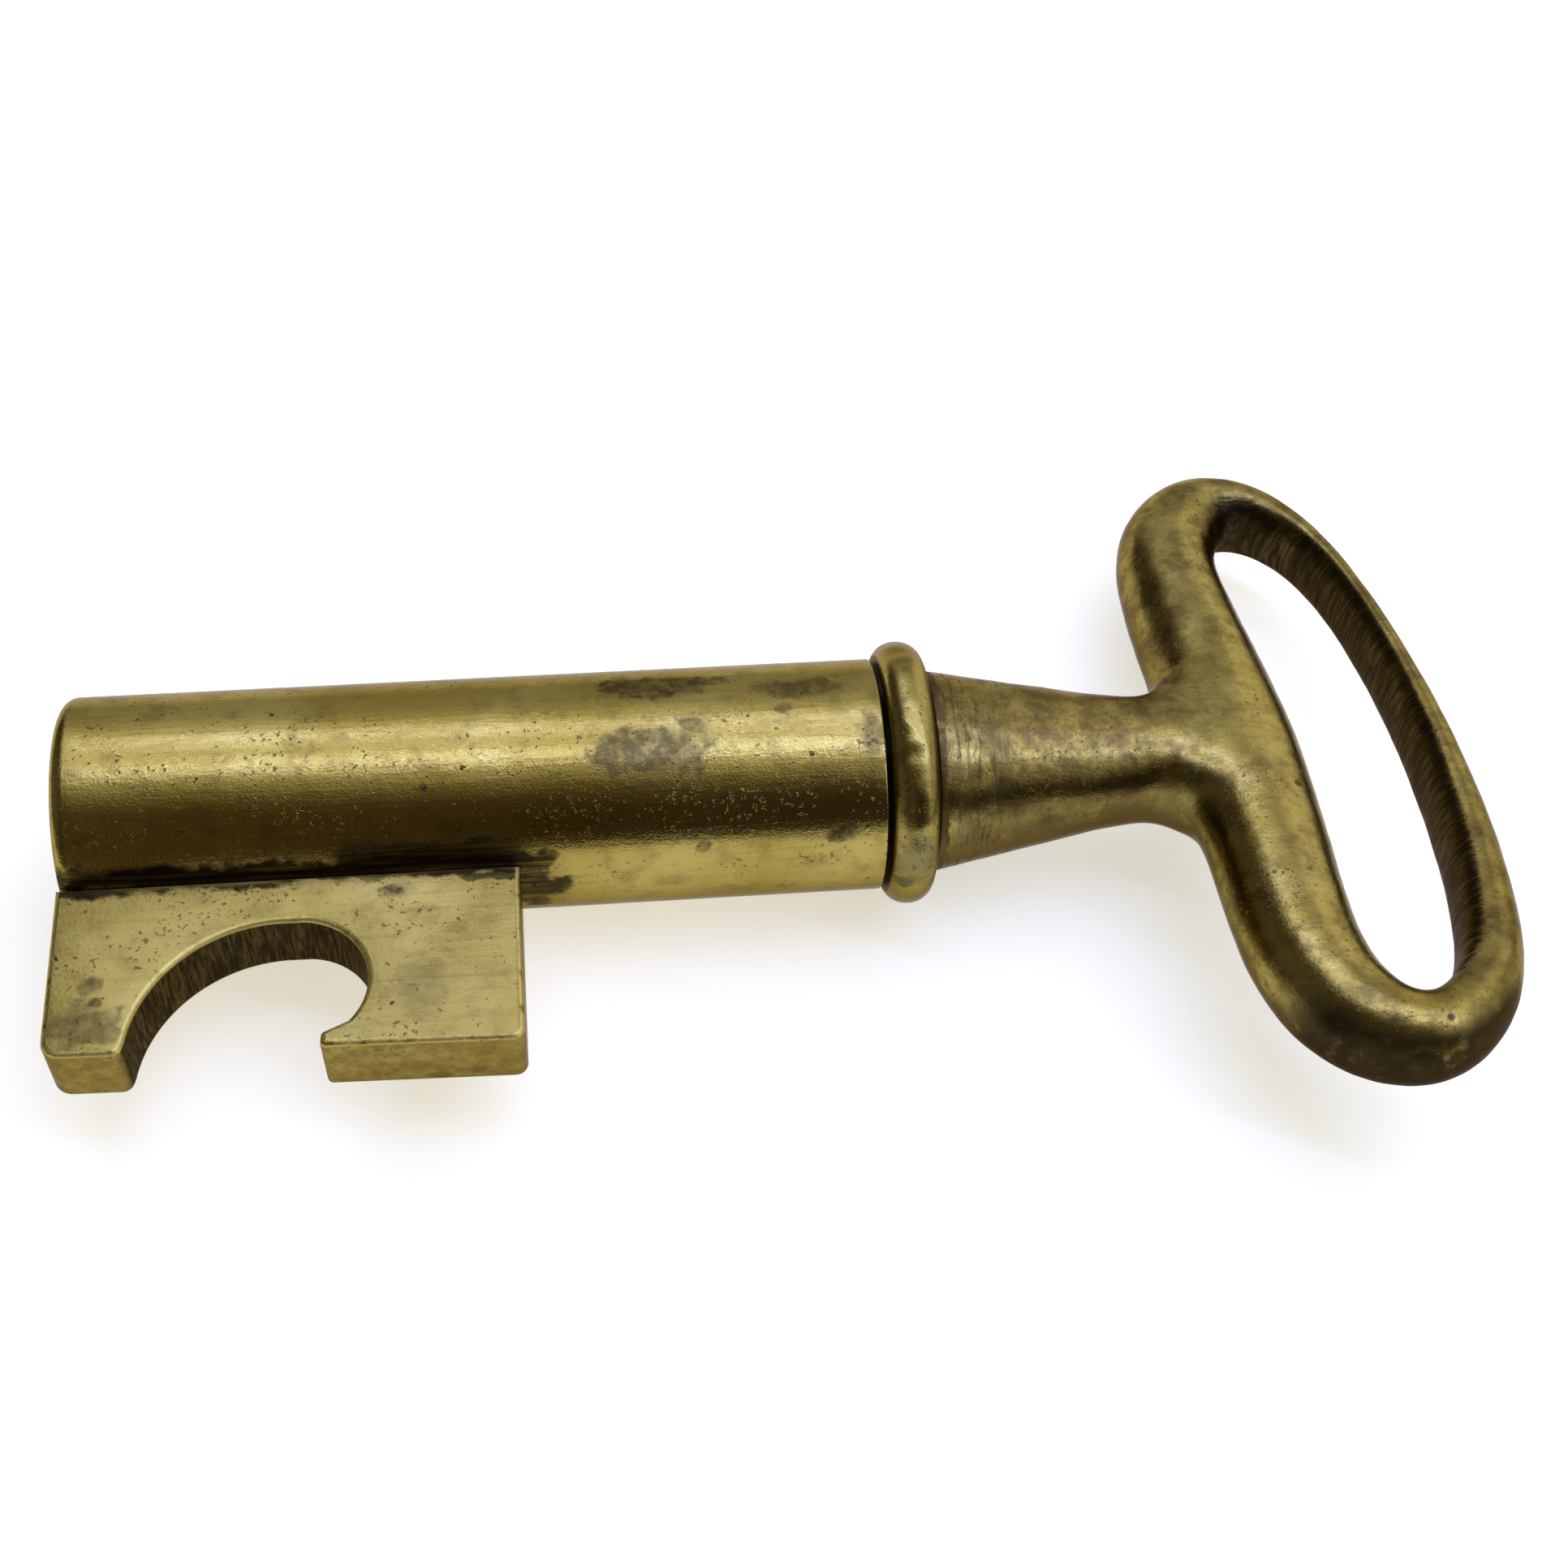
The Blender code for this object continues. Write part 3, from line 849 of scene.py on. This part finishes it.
def film_marks_and_shade(tree, place, colour, dull):
    """Brown film on the neck with painted shade on the undersides, painted shade with dirt on the
    near end, turning marks at its foot, and painted shade on the filed inner walls.
    """
    parts = axes(tree, place)
    facing = axes(tree, add(tree, "TexCoord").outputs["Normal"])
    patchy = grain(tree, place, 420, 7, 0.68, shift=0.9)

    neck = between(tree, parts[0], 100.0 * MM, 90.0 * MM)
    below = between(tree, facing[2], 0.30, -0.35)
    outer_bar = between(tree, parts[0], 107.0 * MM, 113.0 * MM)
    far_half = between(tree, parts[1], 4.0 * MM, 22.0 * MM)
    # The film covers the neck, the outer bar and the far half, and every underside, where it is
    # patina with painted shade.
    film_and_shade = scaled(tree, neck, 0.17, times(tree, below, 0.34))
    film_and_shade = scaled(tree, outer_bar, 0.13, film_and_shade)
    film_and_shade = scaled(tree, far_half, 0.08, film_and_shade)
    film_and_shade = between(tree, arithmetic(tree, "ADD", film_and_shade, patchy), 0.42, 0.84)
    colour = over(tree, times(tree, film_and_shade, 0.88), colour, (*FILM_AND_SHADE_BROWN, 1.0))

    # The near end's lower, near-facing side is darkened: dirt with painted shade.
    near_end = between(tree, parts[1], -25.0 * MM, -31.0 * MM)
    near_end = times(tree, near_end, between(tree, facing[2], 0.90, 0.58))
    near_end = times(tree, near_end, between(tree, patchy, 0.20, 0.46), 0.86)
    foot = between(tree, parts[0], 82.0 * MM, 76.0 * MM)
    about_shaft = (1.0, 0.1, 0.1)
    turned_marks = grain(tree, place, 2600, 4, 0.7, stretch=about_shaft, shift=0.4)
    share = times(tree, between(tree, turned_marks, 0.48, 0.66), foot, 0.6)
    share = larger(tree, share, near_end)

    # The inner walls of the outer bar and of the far end get painted shade over file strokes, with
    # a hatched rim.
    strokes = grain(tree, place, 3400, 4, 0.7, stretch=(0.25, 1.0, 0.08), shift=0.2)
    hatching = scaled(tree, strokes, 0.9, -0.45)
    outer = between(tree, arithmetic(tree, "ADD", facing[0], hatching), -0.46, -0.68)
    outer = times(tree, outer, between(tree, parts[0], 109.0 * MM, 112.0 * MM))
    far = between(tree, arithmetic(tree, "ADD", facing[1], hatching), -0.30, -0.60)
    far = times(tree, far, between(tree, parts[1], 20.0 * MM, 25.0 * MM))
    far = times(tree, far, between(tree, parts[0], 101.0 * MM, 104.0 * MM))
    depth = scaled(tree, between(tree, strokes, 0.42, 0.66), -0.35, 0.94)
    share = larger(tree, share, times(tree, larger(tree, outer, far), depth))
    return over(tree, share, colour, (*OXIDE_AND_SHADE, 1.0)), larger(tree, dull, share)


handle.data.materials.clear()
handle.data.materials.append(
    aged_brass(
        "handle_brass",
        (0.10, 1.0, 0.10),
        stains=[
            ((97.0, 15.4, 2.6), (2.4, 3.0, 2.5), 0, 0.45),
            ((95.1, 11.8, 1.4), (1.6, 2.6, 2.2), 0, 0.60),
            ((95.4, 6.2, 3.6), (1.3, 2.0, 1.6), 0, 0.75),
            ((100.4, -31.6, 4.2), (3.0, 3.4, 3.4), 0, 0.55),
            ((103.9, -29.2, 7.7), (2.4, 1.8, 1.6), 0, 0.35),
            ((109.2, -32.1, 7.5), (0.32, 0.32, 0.6), 0, 1.00),
            ((103.4, -7.0, 4.9), (0.45, 0.40, 0.6), 0, 0.80),
            ((78.4, -6.7, 3.8), (2.6, 2.2, 1.8), 0, 0.50),
            ((82.2, -6.8, 1.3), (0.8, 0.9, 0.9), 0, 0.85),
            ((94.6, -6.6, 2.8), (3.2, 3.2, 3.2), 0, 0.42),
            ((92.0, 4.5, 4.0), (4.0, 1.8, 1.4), 0, 0.35),
            ((86.0, -6.9, 1.2), (10.0, 3.0, 2.6), 0, 0.42),
            ((108.6, -33.9, 1.2), (5.5, 2.6, 4.2), 0, 0.78),
        ],
        # Grime: dirt with painted shade in the joint with the ring and low on both ends of the
        # loop.
        grime_and_shade=[
            ((73.0, 0.0, 0.0), (0.45, 30.0, 30.0), 0, 0.85),
            ((102.5, -33.6, 1.5), (7.5, 3.4, 5.4), 0, 0.72),
            ((106.5, 28.6, -2.5), (6.5, 2.6, 4.6), 0, 0.60),
        ],
        browned=0.72,
        gloss=0.205,
        tone=0.98,
        extra=film_marks_and_shade,
    )
)
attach(handle, "handle")
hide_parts("bow_handle")

# ---------------------------------------------------------------------------------------
# Threaded spigot. A turned brass stub: its plain tail is fixed in the neck's socket and its
# thread screws into the barrel. Oil has kept it brighter than the outside.

spigot_radius = 6.3
spigot_tail_radius = 5.0
shank_bore_radius = 1.7
shoulder = ring_end
spigot_end = barrel_length - tapped_length - 0.2
spigot_rows = [
    (shoulder + 7.3, shank_bore_radius),
    (shoulder + 7.3, spigot_tail_radius - 0.4),
    (shoulder + 6.9, spigot_tail_radius),
    (shoulder - 0.1, spigot_tail_radius),
    (shoulder - 0.1, spigot_radius),
]
spigot_rows += thread_rows(barrel_length - 0.2, -tapped_length + 0.4, spigot_radius, -thread_depth)
spigot_rows += [
    (spigot_end + 0.3, spigot_radius - 0.3),
    (spigot_end, spigot_radius - 0.8),
    (spigot_end, shank_bore_radius + 0.25),
    (spigot_end + 0.25, shank_bore_radius),
]
spigot = turned("threaded_spigot_stub", spigot_rows, 128, closed=True)
spigot.data.materials.append(
    aged_brass("spigot_brass", (1.0, 0.1, 0.1), browned=0.3, gloss=0.24)
)
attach(spigot, "handle")
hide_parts("threaded_spigot")

# ---------------------------------------------------------------------------------------
# Worm. One steel wire: a straight shank held in the spigot, then an open coil ground to a
# point. Drawn bright, dulled by wine and damp to a grey with a little brown in it.

shank_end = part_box("worm")[1].x / MM
wire_radius = 1.4
coil_radius = 3.1
coil_pitch = 8.6
tip_x = 7.0
coil_start_x = 52.0
lead_in_turns = 0.5
steps_per_turn = 56
wire_sides = 24


def wire_path():
    """Points and radii along the wire from the shank to the tip."""
    path = []
    shank = (shank_end, 72.0, barrel_length - 4.0, 61.0, coil_start_x + 5.5)
    for x in shank:
        path.append((Vector((x, 0, 0)), wire_radius))
    turns = (coil_start_x - tip_x) / coil_pitch + lead_in_turns
    steps = round(turns * steps_per_turn)
    for step in range(steps + 1):
        turn = step / steps_per_turn - lead_in_turns
        grown = min(1.0, (turn + lead_in_turns) / lead_in_turns)
        grown = grown * grown * (3 - 2 * grown)
        angle = 2 * math.pi * turn
        coil = coil_radius * grown
        left = (steps - step) / steps_per_turn
        taper = min(1.0, 0.10 + 1.1 * left)
        spot = (coil_start_x - coil_pitch * turn, coil * math.cos(angle), -coil * math.sin(angle))
        path.append((Vector(spot), wire_radius * taper))
    return path


builder = bmesh.new()
path = wire_path()
rings = []
for i, (point, radius) in enumerate(path):
    along = (path[min(i + 1, len(path) - 1)][0] - path[max(i - 1, 0)][0]).normalized()
    out = Vector((0, 0, 1)) - along * along.z
    if out.length < 0.2:
        out = Vector((0, 1, 0)) - along * along.y
    out.normalize()
    side = along.cross(out)
    ring_points = []
    for k in range(wire_sides):
        angle = 2 * math.pi * k / wire_sides
        offset = out * math.cos(angle) + side * math.sin(angle)
        ring_points.append(builder.verts.new(point + offset * radius))
    rings.append(ring_points)
for first, second in zip(rings, rings[1:]):
    bridge(builder, first, second)
builder.faces.new(rings[0])
builder.faces.new(rings[-1])
worm = make_piece(builder, "worm_wire")

steel = bpy.data.materials.new("worm_steel")
steel.use_nodes = True
tree = steel.node_tree
place = add(tree, "TexCoord").outputs["Object"]
tarnish = grain(tree, place, 320, 6, 0.6)
fine = grain(tree, place, 2400, 3, 0.6)
bright_steel, grey_steel = (0.56, 0.55, 0.53, 1.0), (0.27, 0.235, 0.19, 1.0)
colour = over(tree, between(tree, tarnish, 0.40, 0.70), bright_steel, grey_steel)
freckles = times(tree, between(tree, fine, 0.64, 0.72), 0.8)
colour = over(tree, freckles, colour, (0.10, 0.045, 0.02, 1.0))
rough = scaled(tree, tarnish, 0.35, 0.12)
height = scaled(tree, tarnish, 2.0, fine)
bump = add(tree, "Bump", {"Height": height, "Strength": 1.0, "Distance": 0.010 * MM})
shader = tree.nodes["Principled BSDF"]
tree.links.new(colour, shader.inputs["Base Color"])
tree.links.new(rough, shader.inputs["Roughness"])
tree.links.new(bump.outputs[0], shader.inputs["Normal"])
shader.inputs["Metallic"].default_value = 1.0
worm.data.materials.append(steel)
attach(worm, "handle")
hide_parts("worm")

# ---------------------------------------------------------------------------------------
# Floor and backdrop. A plain white sweep of paper under the key, and a pale wall far off
# that only closes the view and gives and takes no light.

floor_height = cad_low.z
sheet_radius = 0.20
floor_radius = 3.0
paper = bpy.data.materials.new("white_paper")
paper.use_nodes = True
paper_shader = paper.node_tree.nodes["Principled BSDF"]
paper_shader.inputs["Base Color"].default_value = (0.78, 0.765, 0.665, 1.0)
paper_shader.inputs["Roughness"].default_value = 0.9
paper_shader.inputs["Specular IOR Level"].default_value = 0.1
paper_shader.inputs["Emission Color"].default_value = (1.0, 0.985, 0.88, 1.0)
paper_shader.inputs["Emission Strength"].default_value = 0.58


def paper_ring(name, inner, outer):
    """A flat ring of the paper floor, or a disc where inner is 0."""
    builder = bmesh.new()
    edge = bmesh.ops.create_circle(builder, cap_ends=inner == 0, segments=96, radius=outer)["verts"]
    if inner:
        hole = bmesh.ops.create_circle(builder, segments=96, radius=inner)["verts"]
        bridge(builder, hole, edge)
    mesh = bpy.data.meshes.new(name)
    builder.to_mesh(mesh)
    builder.free()
    mesh.materials.append(paper)
    item = bpy.data.objects.new(name, mesh)
    bpy.context.scene.collection.objects.link(item)
    item.location = ((cad_low.x + cad_high.x) / 2, 0.0, floor_height)
    return item


sheet = paper_ring("paper_under_key", 0.0, sheet_radius)
floor = paper_ring("paper_floor", sheet_radius, floor_radius)
floor.visible_glossy = False

builder = bmesh.new()
bmesh.ops.create_icosphere(builder, subdivisions=4, radius=floor_radius)
mesh = bpy.data.meshes.new("pale_wall")
builder.to_mesh(mesh)
builder.free()
wall = bpy.data.objects.new("pale_wall", mesh)
bpy.context.scene.collection.objects.link(wall)
pale = bpy.data.materials.new("pale_wall")
pale.use_nodes = True
pale.node_tree.nodes.clear()
wall_white = (0.93, 0.93, 0.935, 1.0)
glow = add(pale.node_tree, "Emission", {"Color": wall_white})
output = add(pale.node_tree, "OutputMaterial")
pale.node_tree.links.new(glow.outputs[0], output.inputs[0])
wall.data.materials.append(pale)
for seen_by in ("diffuse", "glossy", "transmission", "volume_scatter", "shadow"):
    setattr(wall, "visible_" + seen_by, False)

# ---------------------------------------------------------------------------------------
# Light. A soft bright ceiling askew to the key, pale walls behind, a dim warm room on the
# near side and the left, a window to the far right, and two long thin lamps overhead that
# draw the two streaks on the barrel.

room = bpy.data.worlds.new("studio_room")
bpy.context.scene.world = room
room.use_nodes = True
tree = room.node_tree
tree.nodes.clear()
direction = add(tree, "TexCoord").outputs["Generated"]
across, away, up = axes(tree, direction)
ceiling_skew = -0.8  # the bright ceiling lies askew to the key
toward_viewer = scaled(tree, across, ceiling_skew, times(tree, away, -1.0))
height = larger(tree, up, 0.0)
sweep = arithmetic(tree, "ARCTAN2", height, toward_viewer)
ramp = add(tree, "ValToRGB", {0: arithmetic(tree, "DIVIDE", sweep, math.pi)})
# Degrees from the near horizon over the top to the far one, and the glow there.
ceiling = [
    (0, (0.045, 0.034, 0.026)),
    (25, (0.045, 0.034, 0.026)),
    (42, (0.060, 0.046, 0.036)),
    (52, (0.11, 0.090, 0.070)),
    (60, (0.26, 0.225, 0.19)),
    (69, (0.50, 0.470, 0.47)),
    (80, (0.95, 0.96, 1.08)),
    (90, (1.22, 1.25, 1.50)),
    (112, (1.28, 1.32, 1.58)),
    (126, (1.15, 1.17, 1.38)),
    (137, (0.78, 0.78, 0.92)),
    (150, (0.58, 0.57, 0.68)),
    (180, (0.52, 0.51, 0.60)),
]
stops = ramp.color_ramp.elements
while len(stops) < len(ceiling):
    stops.new(0.5)
for stop, (degrees, glow_colour) in zip(stops, ceiling):
    stop.position = degrees / 180
    stop.color = (*glow_colour, 1.0)
near_left = times(tree, between(tree, across, 0.05, -0.30), between(tree, sweep, 0.9, 0.6))
window = times(tree, between(tree, across, 0.34, 0.52), between(tree, away, -0.05, 0.30))
# The rest of the room, laid over the ceiling one patch after another.
patches = [
    # where, colour
    (near_left, (0.17, 0.118, 0.082)),
    (window, (1.15, 1.13, 1.25)),
    (between(tree, across, 0.72, 0.92), (0.64, 0.62, 0.68)),
    (between(tree, across, -0.24, -0.52), (0.085, 0.070, 0.055)),
    (between(tree, across, -0.60, -0.84), (0.15, 0.135, 0.12)),
]
colour = ramp.outputs[0]
for patch, glow_colour in patches:
    colour = over(tree, patch, colour, (*glow_colour, 1.0))
glow = add(tree, "Background", {"Color": colour, "Strength": 1.0})
output = add(tree, "OutputWorld")
tree.links.new(glow.outputs[0], output.inputs[0])

lamps = [
    # name, centre, turn in plan in degrees, length, width, power, colour
    ("lamp_front", (0.196, -0.082, 0.60), -27, 0.80, 0.010, 0.44, (1.0, 1.15, 3.0)),
    ("lamp_back", (0.170, 0.214, 0.60), -34, 0.80, 0.010, 0.32, (1.0, 1.15, 3.4)),
]
lit_spot = Vector((0.06, 0.0, 0.0))
for name, centre, turn, length, width, power, tint in lamps:
    data = bpy.data.lights.new(name, "AREA")
    data.shape = "RECTANGLE"
    data.size = length
    data.size_y = width
    data.energy = power
    data.color = tint
    lamp = bpy.data.objects.new(name, data)
    bpy.context.scene.collection.objects.link(lamp)
    down = (lit_spot - Vector(centre)).normalized()
    turn = math.radians(turn)
    long_way = Vector((math.cos(turn), math.sin(turn), 0.0))
    long_way = (long_way - down * long_way.dot(down)).normalized()
    short_way = (-down).cross(long_way)
    facing = Matrix((long_way, short_way, -down)).transposed()
    lamp.matrix_world = Matrix.Translation(centre) @ facing.to_4x4()
    lamp.visible_camera = False

# ---------------------------------------------------------------------------------------
# Camera. It stands on the near side above the barrel and looks down on the key.

camera_data = bpy.data.cameras.new("camera")
camera_data.lens = 53.85
camera_data.sensor_width = 36.0
camera_data.clip_start = 0.01
camera = bpy.data.objects.new("camera", camera_data)
bpy.context.scene.collection.objects.link(camera)
camera_place = (0.041951, -0.120451, 0.162772)
look_aside = math.radians(8.709)
look_down = math.radians(53.318)
roll = math.radians(3.945)
camera.matrix_world = (
    Matrix.Translation(camera_place)
    @ Matrix.Rotation(-look_aside, 4, "Z")
    @ Matrix.Rotation(math.pi / 2 - look_down, 4, "X")
    @ Matrix.Rotation(roll, 4, "Z")
)
bpy.context.scene.camera = camera
bpy.context.scene.view_settings.view_transform = "Standard"
